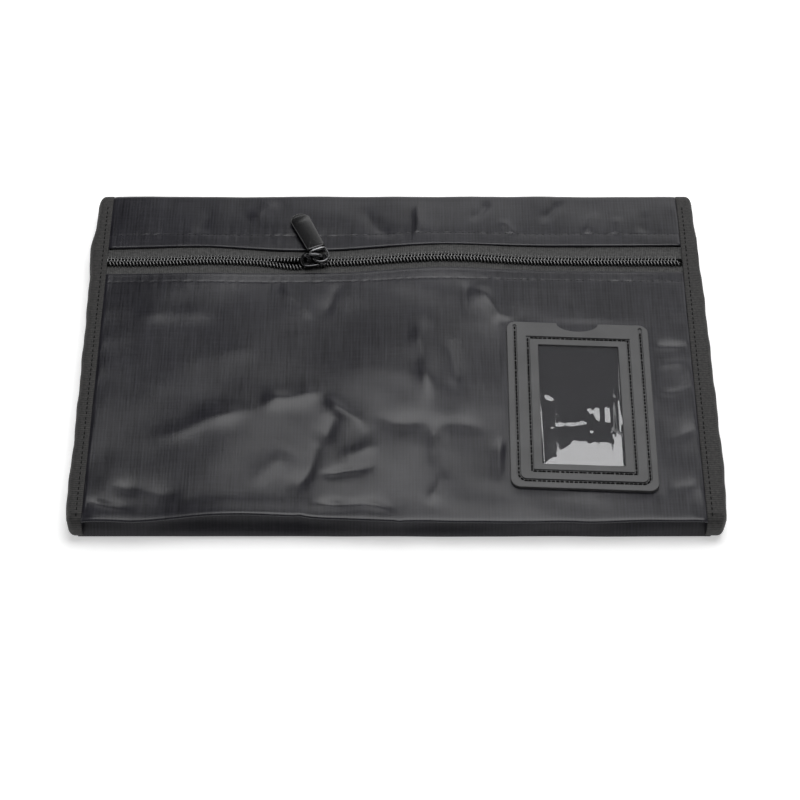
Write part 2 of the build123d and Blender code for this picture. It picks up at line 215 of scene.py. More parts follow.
def under_holder(x, y):
    """1 under the card holder, where the cloth is held flat, falling to 0 around it."""
    u, v = holder_local(x, y)
    near_u, near_v = ((half + HOLDER_REACH - abs(at)) / HOLDER_REACH
                      for half, at in ((HOLDER_W / 2, u), (HOLDER_H / 2, v)))
    return ease(near_u) * ease(near_v)


def cloth_top(x, y):
    """Height of the bag's upper cloth surface."""
    x, y = np.broadcast_arrays(np.asarray(x, float), np.asarray(y, float))
    beyond = np.maximum(X_LEFT - x, x - X_RIGHT)
    x = np.clip(x, X_LEFT, X_RIGHT)
    held = under_holder(x, y)
    free = ease((x - X_LEFT + 2) / EDGE_REACH) * ease((X_RIGHT + 2 - x) / EDGE_REACH)
    loose = free * (1 - held) * (0.2 + 0.8 * ease(abs(y - ZIP_Y) / 14 - 0.4))
    z = TOP - REAR_DROP * ease((y - SLOPE_START) / (2 * (Y_FOLD - SLOPE_START))) * 2
    z = z + lift(x, y) * (0.25 + 0.75 * free) * (1 - 0.6 * held)
    rough = sum(height * ripple(x, y, wavelength, seed) for height, wavelength, seed in RELIEF)
    for entry in FOLDS:
        rough = rough + fold(x, y, *entry)
    z = z + rough * loose + seam_relief(x, y) * (1 - held)
    for edge, side in ((X_LEFT, 1), (X_RIGHT, -1)):
        away = np.maximum((x - edge) * side, 0)
        pull = np.sin(y / 4.2 + 2.2 * np.sin(y / 17.0)) * np.exp(-away / 7.0)
        z = z + 0.2 * pull * (1 - held) * np.minimum(away, 2) / 2
        z = z - EDGE_DIP * bell(away / 0.8)
    return z - 0.4 * ease(beyond / 4)


def chain_y(x):
    """The line where the coils meet."""
    return ZIP_Y + through(x, CHAIN_SHIFT)


def chain_lift(x):
    return lift(np.asarray(x, float), ZIP_Y)


# ---------------------------------------------------------------- card holder frame of axes
HOLDER_LOW, HOLDER_HIGH = span("id_frame")
HOLDER_TURN = math.radians(-2.6)
HOLDER_SLANT = 0.039  # the soft holder lies out of square: sideways shift for each unit of height
HOLDER_X, HOLDER_Y = (HOLDER_LOW[:2] + HOLDER_HIGH[:2]) / 2
HOLDER_W, HOLDER_H = 68.0, 98.4
HOLDER_BEND = 0.175  # height of its slight warp
HOLDER_Z0, HOLDER_Z1 = HOLDER_LOW[2], HOLDER_HIGH[2]


def holder_local(x, y):
    dx, dy = x - HOLDER_X, y - HOLDER_Y
    c, s = math.cos(HOLDER_TURN), math.sin(HOLDER_TURN)
    v = -dx * s + dy * c
    return dx * c + dy * s + HOLDER_SLANT * v, v


def holder_world(u, v):
    c, s = math.cos(HOLDER_TURN), math.sin(HOLDER_TURN)
    across = u - HOLDER_SLANT * v
    return HOLDER_X + across * c - v * s, HOLDER_Y + across * s + v * c


# ---------------------------------------------------------------- mesh helpers
def added(name, data):
    """A new object in the scene."""
    obj = bpy.data.objects.new(name, data)
    bpy.context.scene.collection.objects.link(obj)
    return obj


def evaluated(obj):
    """An object's mesh with its modifiers or bevel applied."""
    graph = bpy.context.evaluated_depsgraph_get()
    return bpy.data.meshes.new_from_object(obj.evaluated_get(graph))


def place(name, mesh, material, body, replaces):
    """A piece that rides on a body and stands for CAD nodes."""
    obj = added(name, mesh)
    mesh.materials.clear()
    mesh.materials.append(material)
    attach(obj, body)
    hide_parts(*replaces)
    return obj


def raw_mesh(name, points, faces):
    mesh = bpy.data.meshes.new(name)
    mesh.from_pydata((np.asarray(points) * MM).tolist(), [], faces)
    mesh.validate()
    mesh.shade_smooth()
    return mesh


def piece(name, shape, material, body, node):
    """A piece made from (points, faces), in place of a CAD node."""
    return place(name, raw_mesh(name, *shape), material, body, [node])


def grid_faces(rows, columns, wrap_columns=False):
    """Quads of a grid of points stored row by row."""
    faces = []
    for a in range(0, (rows - 1) * columns, columns):
        b = a + columns
        for j in range(columns if wrap_columns else columns - 1):
            faces.append((a + j, a + (j + 1) % columns, b + (j + 1) % columns, b + j))
    return faces


def cloth_sheet(name, grid, thickness, material, node, flip=False):
    """A sheet of real thickness over a grid of points (rows, columns, 3)."""
    rows, columns = grid.shape[:2]
    faces = grid_faces(rows, columns)
    if flip:
        faces = [f[::-1] for f in faces]
    mesh = raw_mesh(name, grid.reshape(-1, 3), faces)
    obj = place(name, mesh, material, "bag", [node])
    solid = obj.modifiers.new("thickness", "SOLIDIFY")
    solid.thickness = thickness * MM
    solid.offset = -1
    mesh = evaluated(obj)
    obj.modifiers.clear()
    obj.data = mesh
    mesh.shade_smooth()
    return obj


def tube(points, radius, sides, squeeze=1.0):
    """Points and faces of a tube along a path; squeeze flattens it vertically."""
    points = np.asarray(points, float)
    n = len(points)
    tangent = np.gradient(points, axis=0)
    tangent /= np.linalg.norm(tangent, axis=1)[:, None]
    radius = np.broadcast_to(radius, n)
    side = np.cross(tangent[0], (0.0, 0.0, 1.0))
    if np.linalg.norm(side) < 1e-6:
        side = np.array((1.0, 0.0, 0.0))
    rings = []
    for p, t, r in zip(points, tangent, radius):
        side = side - t * side.dot(t)
        side = side / np.linalg.norm(side)
        up = np.cross(side, t)
        angle = 2 * math.pi * np.arange(sides) / sides
        rings.append(p + r * (np.outer(np.cos(angle), side) + squeeze * np.outer(np.sin(angle), up)))
    faces = grid_faces(n, sides, wrap_columns=True)
    faces += [tuple(range(sides))[::-1], tuple((n - 1) * sides + k for k in range(sides))]
    return np.concatenate(rings), faces


def joined(shapes):
    """Several (points, faces) shapes as one."""
    points, faces, count = [], [], 0
    for p, f in shapes:
        points.append(p)
        faces += [tuple(i + count for i in face) for face in f]
        count += len(p)
    return np.concatenate(points), faces


def stitches(path, pitch, share, radius, sink):
    """Separate stitches along a dense path: each dives into the cloth at both ends."""
    path = np.asarray(path, float)
    step = np.linalg.norm(np.diff(path, axis=0), axis=1)
    run = np.concatenate([[0], np.cumsum(step)])
    shapes = []
    for k in range(int(run[-1] / pitch)):
        s = (k + 0.5 + 0.06 * random.standard_normal()) * pitch
        at = s + np.linspace(-0.5, 0.5, 7) * pitch * share
        p = np.stack([np.interp(at, run, path[:, i]) for i in range(3)], axis=1)
        p[:, 2] += radius * 0.5 - sink * np.linspace(-1, 1, 7) ** 4
        shapes.append(tube(p, radius, 6, squeeze=0.75))
    return joined(shapes)


# ---------------------------------------------------------------- materials
RIB_PERIOD = 1.1  # ribs of the binding tape


def new_material(name, colour, roughness, **sockets):
    """A Principled material: returns it with its node tree and shader."""
    material = bpy.data.materials.new(name)
    material.use_nodes = True
    tree = material.node_tree
    shader = tree.nodes["Principled BSDF"]
    shader.inputs["Base Color"].default_value = (*colour, 1)
    shader.inputs["Roughness"].default_value = roughness
    for socket, value in sockets.items():
        shader.inputs[socket.replace("_", " ")].default_value = value
    return material, tree, shader


def add_node(tree, kind, links=(), **settings):
    """A node with its settings and its links (input, output socket)."""
    node = tree.nodes.new(kind)
    for key, value in settings.items():
        setattr(node, key, value)
    for target, source in links:
        tree.links.new(source, node.inputs[target])
    return node


def position(tree, scale=(1, 1, 1)):
    """Object coordinates, stretched by scale."""
    coordinates = add_node(tree, "ShaderNodeTexCoord")
    mapping = add_node(tree, "ShaderNodeMapping", [(0, coordinates.outputs["Object"])])
    mapping.inputs["Scale"].default_value = scale
    return mapping.outputs[0]


def noise(tree, scale, detail, stretch=(1, 1, 1)):
    texture = add_node(tree, "ShaderNodeTexNoise", [("Vector", position(tree, stretch))])
    texture.inputs["Scale"].default_value = scale
    texture.inputs["Detail"].default_value = detail
    return texture.outputs["Fac"]


def wave(tree, period, axis, distortion=0.0):
    """Fine parallel ribs with a period in millimetres along an axis."""
    texture = add_node(tree, "ShaderNodeTexWave", [("Vector", position(tree))], bands_direction=axis)
    texture.inputs["Scale"].default_value = 2 * math.pi / (20 * period * MM)
    texture.inputs["Distortion"].default_value = distortion
    return texture.outputs["Fac"]


def maths(tree, operation, a, b=None, c=None):
    node = add_node(tree, "ShaderNodeMath", operation=operation)
    for i, value in enumerate((a, b, c)):
        if value is None:
            continue
        if isinstance(value, (int, float)):
            node.inputs[i].default_value = value
        else:
            tree.links.new(value, node.inputs[i])
    return node.outputs[0]


def mixture(tree, *parts):
    """Weighted sum of (value, weight) parts."""
    total = None
    for value, weight in parts:
        term = maths(tree, "MULTIPLY", value, weight)
        total = term if total is None else maths(tree, "ADD", total, term)
    return total


def tint(tree, shader, factor, dark, light, low=0.3, high=0.7):
    """Base colour from dark to light as factor goes from low to high."""
    ramp = add_node(tree, "ShaderNodeValToRGB", [(0, factor)])
    ramp.color_ramp.elements[0].position = low
    ramp.color_ramp.elements[1].position = high
    ramp.color_ramp.elements[0].color = (*dark, 1)
    ramp.color_ramp.elements[1].color = (*light, 1)
    tree.links.new(ramp.outputs[0], shader.inputs["Base Color"])


def relief(tree, shader, height, distance, strength):
    bump = add_node(tree, "ShaderNodeBump", [("Height", height)])
    bump.inputs["Distance"].default_value = distance * MM
    bump.inputs["Strength"].default_value = strength
    tree.links.new(bump.outputs[0], shader.inputs["Normal"])


def roughen(tree, shader, factor, low, high):
    """Roughness from low to high as factor goes from 0 to 1."""
    node = add_node(tree, "ShaderNodeMapRange", [(0, factor)])
    node.inputs["To Min"].default_value = low
    node.inputs["To Max"].default_value = high
    tree.links.new(node.outputs[0], shader.inputs["Roughness"])


def nylon(name="black_nylon", specular=0.34, low=0.25, high=0.38):
    """Woven nylon: streaky threads both ways, faint ribs, roughness from low to high."""
    material, tree, shader = new_material(name, (0.013, 0.013, 0.016), 0.3, Specular_IOR_Level=specular)
    warp = noise(tree, 1.0, 2.0, stretch=(1100, 60, 100))
    weft = noise(tree, 1.0, 2.0, stretch=(90, 1300, 100))
    threads = mixture(tree, (warp, 0.65), (weft, 0.35))
    ribs = wave(tree, 1.5, "X", 0.8)
    mixed = mixture(tree, (threads, 0.65), (noise(tree, 22, 2.0), 0.25), (ribs, 0.1))
    tint(tree, shader, mixed, (0.004, 0.0038, 0.0058), (0.020, 0.0195, 0.0255), 0.34, 0.66)
    roughen(tree, shader, threads, low, high)
    weave = maths(tree, "MULTIPLY", wave(tree, 0.6, "X"), wave(tree, 0.6, "Y"))
    relief(tree, shader, mixture(tree, (weave, 0.25), (threads, 0.8), (ribs, 0.07)), 0.06, 0.8)
    return material


def grosgrain():
    """Ribbed tape: its ribs follow the run, in millimetres, kept on the binding's points."""
    material, tree, shader = new_material("binding_tape", (0.018, 0.018, 0.018), 0.75)
    run = add_node(tree, "ShaderNodeAttribute", attribute_name="run")
    rib = maths(tree, "SINE", maths(tree, "MULTIPLY", run.outputs["Fac"], 2 * math.pi / RIB_PERIOD))
    rib = maths(tree, "MULTIPLY_ADD", rib, 0.5, 0.5)
    mixed = mixture(tree, (rib, 0.25), (noise(tree, 800, 3.0), 0.75))
    tint(tree, shader, mixed, (0.005, 0.005, 0.005), (0.033, 0.031, 0.030), 0.3, 0.72)
    relief(tree, shader, mixed, 0.25, 0.9)
    return material


def zip_tape():
    material, tree, shader = new_material("zip_tape", (0.03, 0.03, 0.03), 0.8)
    weave = maths(tree, "MULTIPLY", wave(tree, 0.9, "X", 1.2), wave(tree, 0.8, "Y", 1.2))
    mixed = mixture(tree, (weave, 0.4), (noise(tree, 800, 3.0), 0.7))
    tint(tree, shader, mixed, (0.018, 0.018, 0.018), (0.085, 0.084, 0.083), 0.25, 0.75)
    relief(tree, shader, mixed, 0.16, 0.8)
    return material


def yarn(name, grey, roughness, specular, fuzz_scale, depth, strength):
    """Matt thread, from half its grey to twice."""
    material, tree, shader = new_material(name, (grey,) * 3, roughness, Specular_IOR_Level=specular)
    fuzz = noise(tree, fuzz_scale, 2.0)
    tint(tree, shader, fuzz, (grey / 2,) * 3, (grey * 2,) * 3)
    relief(tree, shader, fuzz, depth, strength)
    return material


def coil_plastic():
    material, tree, shader = new_material(
        "zip_coil", (0.008, 0.008, 0.0085), 0.16, IOR=1.9, Coat_Weight=0.8, Coat_Roughness=0.14)
    fuzz = noise(tree, 900, 2.0)
    tint(tree, shader, fuzz, (0.004, 0.004, 0.0045), (0.012, 0.012, 0.0125))
    roughen(tree, shader, fuzz, 0.14, 0.24)
    return material


def enamel(name, base, roughness):
    material, tree, shader = new_material(name, base, roughness, Metallic=1.0)
    worn = noise(tree, 260, 4.0)
    tint(tree, shader, worn, tuple(0.8 * c for c in base), tuple(1.3 * c for c in base), 0.4, 0.75)
    roughen(tree, shader, worn, roughness * 0.8, roughness * 1.5)
    relief(tree, shader, worn, 0.02, 0.3)
    return material


def tab_plastic():
    material, tree, shader = new_material("tab_cover", (0.005, 0.005, 0.0055), 0.2)
    grain = noise(tree, 1600, 3.0)
    tint(tree, shader, noise(tree, 120, 3.0), (0.003, 0.003, 0.0035), (0.007, 0.007, 0.0075))
    roughen(tree, shader, grain, 0.16, 0.26)
    relief(tree, shader, grain, 0.01, 0.3)
    return material


def rubber():
    material, tree, shader = new_material("holder_rubber", (0.06, 0.06, 0.061), 0.5)
    grain = noise(tree, 1400, 4.0)
    tint(tree, shader, noise(tree, 60, 3.0), (0.046, 0.046, 0.0475), (0.060, 0.060, 0.062), 0.35, 0.65)
    roughen(tree, shader, grain, 0.44, 0.62)
    relief(tree, shader, grain, 0.03, 0.5)
    return material


def film():
    material, tree, shader = new_material(
        "clear_film", (0.38, 0.38, 0.40), 0.03, IOR=1.6, Transmission_Weight=0.9)
    haze = noise(tree, 240, 4.0)
    roughen(tree, shader, haze, 0.02, 0.07)
    return material


def glass_cloth():
    material, tree, shader = new_material("fire_liner", (0.42, 0.42, 0.40), 0.6)
    weave = maths(tree, "MULTIPLY", wave(tree, 1.1, "X"), wave(tree, 1.1, "Y"))
    tint(tree, shader, weave, (0.30, 0.30, 0.29), (0.50, 0.50, 0.48), 0.1, 0.8)
    relief(tree, shader, weave, 0.15, 0.8)
    return material


NYLON, GROSGRAIN, TAPE = nylon(), grosgrain(), zip_tape()
# Less glossy copy of the nylon for the front strip: its lowered sheen is painted shade for the shadow under
# the lip
NYLON_SHADED_FRONT = nylon("black_nylon_shaded_front", 0.3, 0.42, 0.56)
THREAD = yarn("thread", 0.003, 0.7, 0.15, 2500, 0.05, 0.7)
CORD = yarn("zip_cord", 0.002, 0.9, 0.1, 1800, 0.08, 0.6)
COIL, RUBBER, FILM, LINER = coil_plastic(), rubber(), film(), glass_cloth()
SLIDER_PAINT = enamel("slider_metal", (0.075, 0.075, 0.078), 0.13)
LINK_PAINT = enamel("link_metal", (0.11, 0.11, 0.113), 0.18)
TAB = tab_plastic()


# ---------------------------------------------------------------- outer cloth
def sheet_from_profile(x_values, profile):
    """Grid of points: profile(x) gives the (y, z) points at that x."""
    return np.array([[(x, y, z) for y, z in profile(x)] for x in x_values])


# Turned edges: (y from the edge, height) points. A hem's run from under the cloth to its top, and
# the lip's from its top to under it.
HEM_TURN = ((-6.0, -HEM), (-1.5, -HEM), (-0.4, -HEM + 0.03), (-0.06, -0.47), (0.0, -0.34), (-0.06, -0.2),
            (-0.22, -0.04), (-0.5, 0.06), (-0.9, 0.09), (-1.3, 0.05))
BAND_HEM_TURN = ((-6.0, -HEM), (-1.5, -HEM), (-0.3, -HEM + 0.04), (-0.04, -0.47), (0.0, -0.34),
                 (-0.04, -0.18), (-0.18, -0.05), (-0.5, 0.0), (-1.2, 0.0))
LIP_TURN = ((1.4, -0.02), (0.5, -0.09), (0.12, -0.26), (0.0, -0.5), (0.15, -0.74), (0.7, -0.92),
            (1.8, -1.05), (5.0, -1.3))
X_CLOTH = np.concatenate([  # columns of the cloth, closer together beside the bindings
    np.linspace(X_LEFT - 4.5, X_LEFT + 2.6, 22),
    np.linspace(X_LEFT + 3.2, X_RIGHT - 3.2, 360),
    np.linspace(X_RIGHT - 2.6, X_RIGHT + 4.5, 22),
])
BAND_TURN_Y = 97.0  # where the top band begins its turn round the rear fold
HEM_RUN, LIP_RUN = 1.8, 2.6  # what the turned hem and lip take of the panel
SQUARISH = (0.75, 0.85)  # powers of cosine and sine that make a rounding squarer
LIP_TUCK = 3.0  # how far the lip draws back under a binding
TRIM = 6  # columns that the low pieces lack at each end, where the bindings are rounded


def stations(low, high, row, spacing=1.1, fine=0.35, beside=2.4):
    """Places along y, closer together beside a stitched row."""
    ys = [low]
    while ys[-1] < high - fine:
        ys.append(ys[-1] + (fine if abs(ys[-1] - row) < beside else spacing))
    return np.array(ys)


FRONT_Y = stations(Y_LIP + 2.8, HEM_LOWER - HEM_RUN, ROW_LOWER_Y)
BAND_Y = stations(HEM_UPPER + HEM_RUN, BAND_TURN_Y, ROW_UPPER_Y)


def lip_y(x):
    """Front limit of the panel: a wandering edge with two small kinks."""
    kinks = 0.5 * bell((x + 44) / 2.0) - 0.4 * bell((x - 1) / 1.6)
    wander = 0.16 * ripple(np.asarray(x, float), 0.0, 24, 61)
    return Y_LIP + 0.25 + through(x, LIP_BACK) + wander + kinks


def lip_rise(x):
    """The lip stands up most where it lies back most."""
    return 0.9 * float(through(x, LIP_BACK))


def tucked(x):
    """0 on the open cloth, 1 where it lies under a binding."""
    return float(ease((x - X_RIGHT + 0.3) / 0.8) + ease((X_LEFT + 0.3 - x) / 0.8))


def front_profile(x):
    """(y, z) points of the front panel at x, from under its hem to under its lip."""
    edge = HEM_LOWER + float(through(x, LOWER_SHIFT))
    lip = float(lip_y(x)) + LIP_TUCK * tucked(x)
    inside = min(x - X_LEFT, X_RIGHT - x)
    rise = (lip_rise(x) + 0.25) * float(ease(inside / 6))
    hem = [(edge + dy, dz) for dy, dz in HEM_TURN]
    t = (FRONT_Y[::-1] - FRONT_Y[0]) / (FRONT_Y[-1] - FRONT_Y[0])
    middle = [(y, 0.0) for y in lip + LIP_RUN + (edge - HEM_RUN - lip - LIP_RUN) * t]
    turn = [(lip + dy, dz) for dy, dz in LIP_TURN]
    y, dz = np.array(hem + middle + turn).T
    raised = rise * bell((y - lip) / 7)
    return np.stack([y, cloth_top(x, np.clip(y, lip + 0.5, edge)) + dz + raised], axis=1)


def band_profile(x):
    """(y, z) points of the top band at x, from under its hem round the rear fold."""
    edge = HEM_UPPER + float(through(x, UPPER_SHIFT))
    hem = [(edge - dy, dz) for dy, dz in BAND_HEM_TURN]
    t = (BAND_Y - BAND_Y[0]) / (BAND_Y[-1] - BAND_Y[0])
    middle = [(y, 0.0) for y in edge + HEM_RUN + (BAND_TURN_Y - edge - HEM_RUN) * t]
    y, dz = np.array(hem + middle).T
    z = cloth_top(x, np.maximum(y, edge)) + dz
    radius, half = Y_FOLD - BAND_TURN_Y, (z[-1] - 0.3) / 2
    turn = []
    for a in np.radians(np.linspace(80, -90, 22)):
        c, s = max(math.cos(a), 0), math.sin(a)
        up = math.copysign(abs(s) ** SQUARISH[1], s)
        turn.append((BAND_TURN_Y + radius * c ** SQUARISH[0], 0.3 + half + half * up))
    turn += [(94.0, 0.25), (91.0, 0.25)]
    return np.concatenate([np.stack([y, z], axis=1), turn])


def nylon_panel(node, grid, material=NYLON, flip=False):
    return cloth_sheet(f"{node}_cloth", grid, CLOTH, material, node, flip=flip)


def outer_cloth():
    panel = nylon_panel("front_panel", sheet_from_profile(X_CLOTH, front_profile), flip=True)
    panel = nylon_panel("top_band", sheet_from_profile(X_CLOTH, band_profile))
    y = np.linspace(Y_LIP + 1.0, 92.0, 90)
    xx, yy = np.meshgrid(X_CLOTH[TRIM:-TRIM:2], y, indexing="ij")
    hollow = 0.22 * (1 + ripple(xx, yy, 60, 21)) * ease((X_OUT_RIGHT - 6 - abs(xx)) / 10)
    under = np.stack([xx, yy, np.clip(hollow, 0.0, 0.8) + 0.02], axis=-1)
    panel = nylon_panel("back_panel", under)


def gusset_profile(x):
    """(y, z) points of the upright strip at x, from the floor to under the lip."""
    lip = float(lip_y(x))
    high = float(cloth_top(x, lip + 3)) - 1.3 + lip_rise(x)
    t = np.linspace(0, 1, 24)
    z = 0.5 + (high - 0.5) * t
    dent = 0.5 * ripple(x, z * 3, 38, 31) * np.sin(math.pi * t)
    back = lip - Y_LIP + 4.5
    y = Y_LIP + 0.9 * (1 - ease(t / 0.12)) + back * ease(t) ** 0.8 + dent
    y[0] += 1.2
    return np.stack([y, z], axis=1)


def gusset():
    grid = sheet_from_profile(X_CLOTH[TRIM:-TRIM], gusset_profile)
    # The front strip takes the less glossy nylon copy, painted shade for the shadow under the lip
    strip = nylon_panel("bottom_gusset", grid, NYLON_SHADED_FRONT)


# ---------------------------------------------------------------- side bindings
# Outer edges of the bindings: (y, x) points
LEFT_EDGE = ((-104, -149.9), (-97, -150.9), (-60, -151.1), (0, -151.4), (34, -151.7), (52, -152.2),
             (66, -152.8), (74, -152.2), (80, -151.4), (92, -151.0), (104, -150.4))
RIGHT_EDGE = ((-104, 149.4), (-97, 150.3), (-36, 151.4), (0, 151.1), (40, 150.7), (72, 149.8), (104, 149.2))
BINDING_STEP = 0.9  # from the drawn-down cloth to the top of the tape
ROUND = 3.8  # sideways depth of the rounded outer edge
TURN_FRONT, TURN_REAR = -97.0, 95.5  # where the tape begins to turn down


def binding_outline(x):
    """Closed profile of the binding at x: (y, z, run) once round the bag's end."""
    y_top = np.linspace(TURN_FRONT, TURN_REAR, 300)
    top = [(y, float(z) + BINDING_STEP) for y, z in zip(y_top, cloth_top(x, y_top))]
    rear_z, front_z = top[-1][1], top[0][1]

    def turn(centre_y, depth, height, angles):
        out = []
        for a in np.radians(angles):
            c, s = math.cos(a), math.sin(a)
            up = math.copysign(abs(s) ** SQUARISH[1], s)
            out.append((centre_y + depth * c ** 0.8, height / 2 * (1 + up)))
        return out

    rear = turn(TURN_REAR, Y_REAR - TURN_REAR, rear_z, np.linspace(80, -80, 16))
    front = turn(TURN_FRONT, Y_FRONT - TURN_FRONT, front_z, np.linspace(-80, 80, 20))
    bottom = [(y, 0.0) for y in np.linspace(95, -96, 120)]
    loop = np.array(top + rear + bottom + front)
    run = np.concatenate([[0], np.cumsum(np.linalg.norm(np.diff(loop, axis=0), axis=1))])
    return loop, run


def binding(name, inner, edge_points, side, node):
    """Tape folded over the whole side edge, rounded outwards between top and bottom."""
    loop, run = binding_outline(inner)
    y, z = loop.T
    middle = np.stack([np.clip(y, TURN_FRONT, TURN_REAR - 1.5), np.full_like(y, z.max() / 2)], axis=1)
    outer = through(y, edge_points) + 0.16 * np.sin(y / 5.3 + side) + 0.10 * np.sin(y / 2.3)
    rows = []

    def ring(x, shrink, grow):
        """The outline at x, shrunk towards its middle and grown by a distance."""
        away = loop - middle
        outward = away / np.maximum(np.linalg.norm(away, axis=1), 1e-6)[:, None]
        yz = middle + away * (1 - shrink) + outward * grow
        yz[:, 1] = np.maximum(yz[:, 1], 0.0)
        rows.append(np.column_stack([np.broadcast_to(x, y.shape), yz]))

    ring(inner, 0.0, -0.9)
    ring(inner - side * 0.05, 0.0, -0.25)
    ring(inner + side * 0.12, 0.0, -0.04)
    for t in np.linspace(0.06, 1, 7):
        ring(inner + side * 0.4 + (outer - side * ROUND - inner) * t, 0.0, 0.0)
    for a in np.linspace(15, 90, 8):
        c, s = math.cos(math.radians(a)) ** SQUARISH[0], math.sin(math.radians(a)) ** SQUARISH[1]
        ring(outer - side * ROUND * (1 - s), 1 - c, 0.0)
    grid = np.array(rows)
    faces = grid_faces(*grid.shape[:2], wrap_columns=True)
    if side > 0:
        faces = [f[::-1] for f in faces]
    mesh = raw_mesh(name, grid.reshape(-1, 3), faces)
    attribute = mesh.attributes.new("run", "FLOAT", "POINT")
    attribute.data.foreach_set("value", np.tile(run, len(rows)).astype(np.float32))
    return place(name, mesh, GROSGRAIN, "bag", [node])


def bindings():
    for node, inner, edge_points, side, width in (
        ("binding_left", X_LEFT, LEFT_EDGE, -1, 0.028),
        ("binding_right", X_RIGHT, RIGHT_EDGE, 1, 0.031),
    ):
        tape = binding(f"{node}_tape", inner, edge_points, side, node)


# ---------------------------------------------------------------- zip
PITCH = 1.65  # from one turn of a coil to the next
TAPE_RAISE = 0.2
COIL_WIRE = 0.31  # radius
CORD_RADIUS, CORD_OUT = 0.8, 1.35
PARTED = (2.3, 0.9)  # how far the lower and the upper row stand off behind the slider
SPLIT_START, SPLIT_END = SLIDER[0][0] - 22, SLIDER[0][0] + 4
X_CHAIN = (span("zip_coil_lower")[0][0], span("zip_coil_lower")[1][0])


def split(x, side):
    """How far a row stands off its closed place, where the slider has parted the rows."""
    x = np.asarray(x, float)
    opened = ease((x - SPLIT_START) / (SPLIT_END - 5 - SPLIT_START)) * ease((SPLIT_END - x) / 5)
    return opened * PARTED[side > 0]


def coil_row(side):
    """One coil: flattened turns leaning outwards, with heads just past the middle of the chain."""
    lean = 0.55 if side < 0 else 0.2
    spread = 0.86 if side < 0 else 1.08
    rise = -0.26 if side < 0 else 0.24
    turn = [(lean * (out + 0.3) / 2.6, out, high + rise * (out - 1.0) / 1.5) for out, high in (
        (-0.34, 0.05), (-0.28, 0.40), (0.1, 0.62), (0.9, 0.68), (1.7, 0.68), (2.35, 0.62), (2.8, 0.30))]
    turn += [(lean + (0.96 - lean) * t, out, high) for t, out, high in (
        (0.15, 3.0, -0.1), (0.35, 2.6, -0.5), (0.6, 1.3, -0.62), (0.85, 0.3, -0.55), (0.97, -0.2, -0.3))]
    count = int((X_CHAIN[1] - X_CHAIN[0]) / PITCH) - 1
    points = []
    for k in range(count):
        start = X_CHAIN[0] + (k + (0.5 if side < 0 else 0.0)) * PITCH
        for share, out, high in turn:
            x = start + share * PITCH
            y = float(chain_y(x)) + side * (out * spread + float(split(x, side)))
            points.append((x, y, Z_COIL + high + float(chain_lift(x))))
    radius = COIL_WIRE * np.tile((1.25, 1.15, 1, 0.95, 0.95, 0.95, 0.9, 0.85, 0.85, 0.85, 0.85, 1.0), count)
    return tube(points, radius, 8)


def zip_parts():
    """Both halves of the zip: coil, cord and tape."""
    xs = np.linspace(X_OUT_LEFT + 1.0, X_OUT_RIGHT - 1.0, 240)
    for label, side in (("lower", -1), ("upper", 1)):
        piece(f"zip_coil_{label}_turns", coil_row(side), COIL, "bag", f"zip_coil_{label}")
        cord_x = np.linspace(X_CHAIN[0], X_CHAIN[1], 160)
        cord_y = chain_y(cord_x) + side * (CORD_OUT + split(cord_x, side))
        cord = np.stack([cord_x, cord_y, Z_COIL + chain_lift(cord_x)], axis=1)
        cord = tube(cord, CORD_RADIUS, 12, squeeze=0.5)
        piece(f"zip_cord_{label}_core", cord, CORD, "bag", f"zip_cord_{label}")
        rows = []
        for x in xs:
            inner = 0.6 + float(split(x, side))
            v = np.linspace(inner + 0.9, TAPE_HALF - 0.6, 16)
            v = np.concatenate([[inner, inner + 0.3], v, [TAPE_HALF]])
            y = float(chain_y(x)) + side * v
            sag = -0.12 * np.sin(math.pi * np.clip((v - 3) / (TAPE_HALF - 3), 0, 1))
            z = Z_TAPE + TAPE_RAISE + float(chain_lift(x)) + sag + 0.05 * np.sin(x / 3.1) * (v > 4)
            rows.append(np.column_stack([np.full_like(y, x), y, z]))
        name = f"zip_tape_{label}_weave"
        sheet = cloth_sheet(name, np.array(rows), 0.45, TAPE, f"zip_tape_{label}", flip=side > 0)


# ---------------------------------------------------------------- stitch rows
def sew(node, path, pitch, share=0.62, radius=0.25, sink=0.4):
    """A row of stitches in place of a CAD node."""
    piece(f"{node}_thread", stitches(path, pitch, share, radius, sink), THREAD, "bag", node)


def stitch_rows():
    xs = np.linspace(X_LEFT + 1, X_RIGHT - 1, 500)
    for node, row_y, shift in (
        ("stitch_zip_upper", ROW_UPPER_Y, UPPER_SHIFT),
        ("stitch_zip_lower", ROW_LOWER_Y, LOWER_SHIFT),
    ):
        y = row_y + 0.5 * through(xs, shift)
        path = np.stack([xs, y, cloth_top(xs, y) + 0.1], axis=1)
        sew(node, path, 3.1)
    ys = np.linspace(-99, 93, 420)
    for node, row_x, inner in (
        ("stitch_binding_left", ROW_LEFT_X, X_LEFT),
        ("stitch_binding_right", ROW_RIGHT_X, X_RIGHT),
    ):
        path = np.stack([np.full_like(ys, row_x), ys, cloth_top(inner, ys) + BINDING_STEP + 0.04], axis=1)
        sew(node, path, 2.9)


# ---------------------------------------------------------------- card holder
OPEN_W, OPEN_H = 38.3, 70.9
INNER_W, INNER_H = 48.1, 79.4
OUTER_W, OUTER_LOW, OUTER_HIGH = 60.3, -45.2, 46.6
OUTER_CORNER = 3.6
GROOVE = 1.6  # width of the stitch grooves
GROOVE_DEPTH = 0.95
CORNER = 4.6
RIM = 0.28  # rounding of the raised bands
NOTCH_W, NOTCH_D = 20.0, 5.0
FILM_MARGIN = 2.4
CRINKLES = (  # where the film's slack stands up: middle, half sizes
    ((11.5, -6.0), (8.0, 4.6)),
    ((-15.0, 3.0), (1.6, 1.7)),
    ((-6.5, -12.5), (3.6, 0.8)),
    ((1.8, -11.0), (3.4, 1.0)),
    ((7.0, -15.8), (4.0, 0.6)),
)


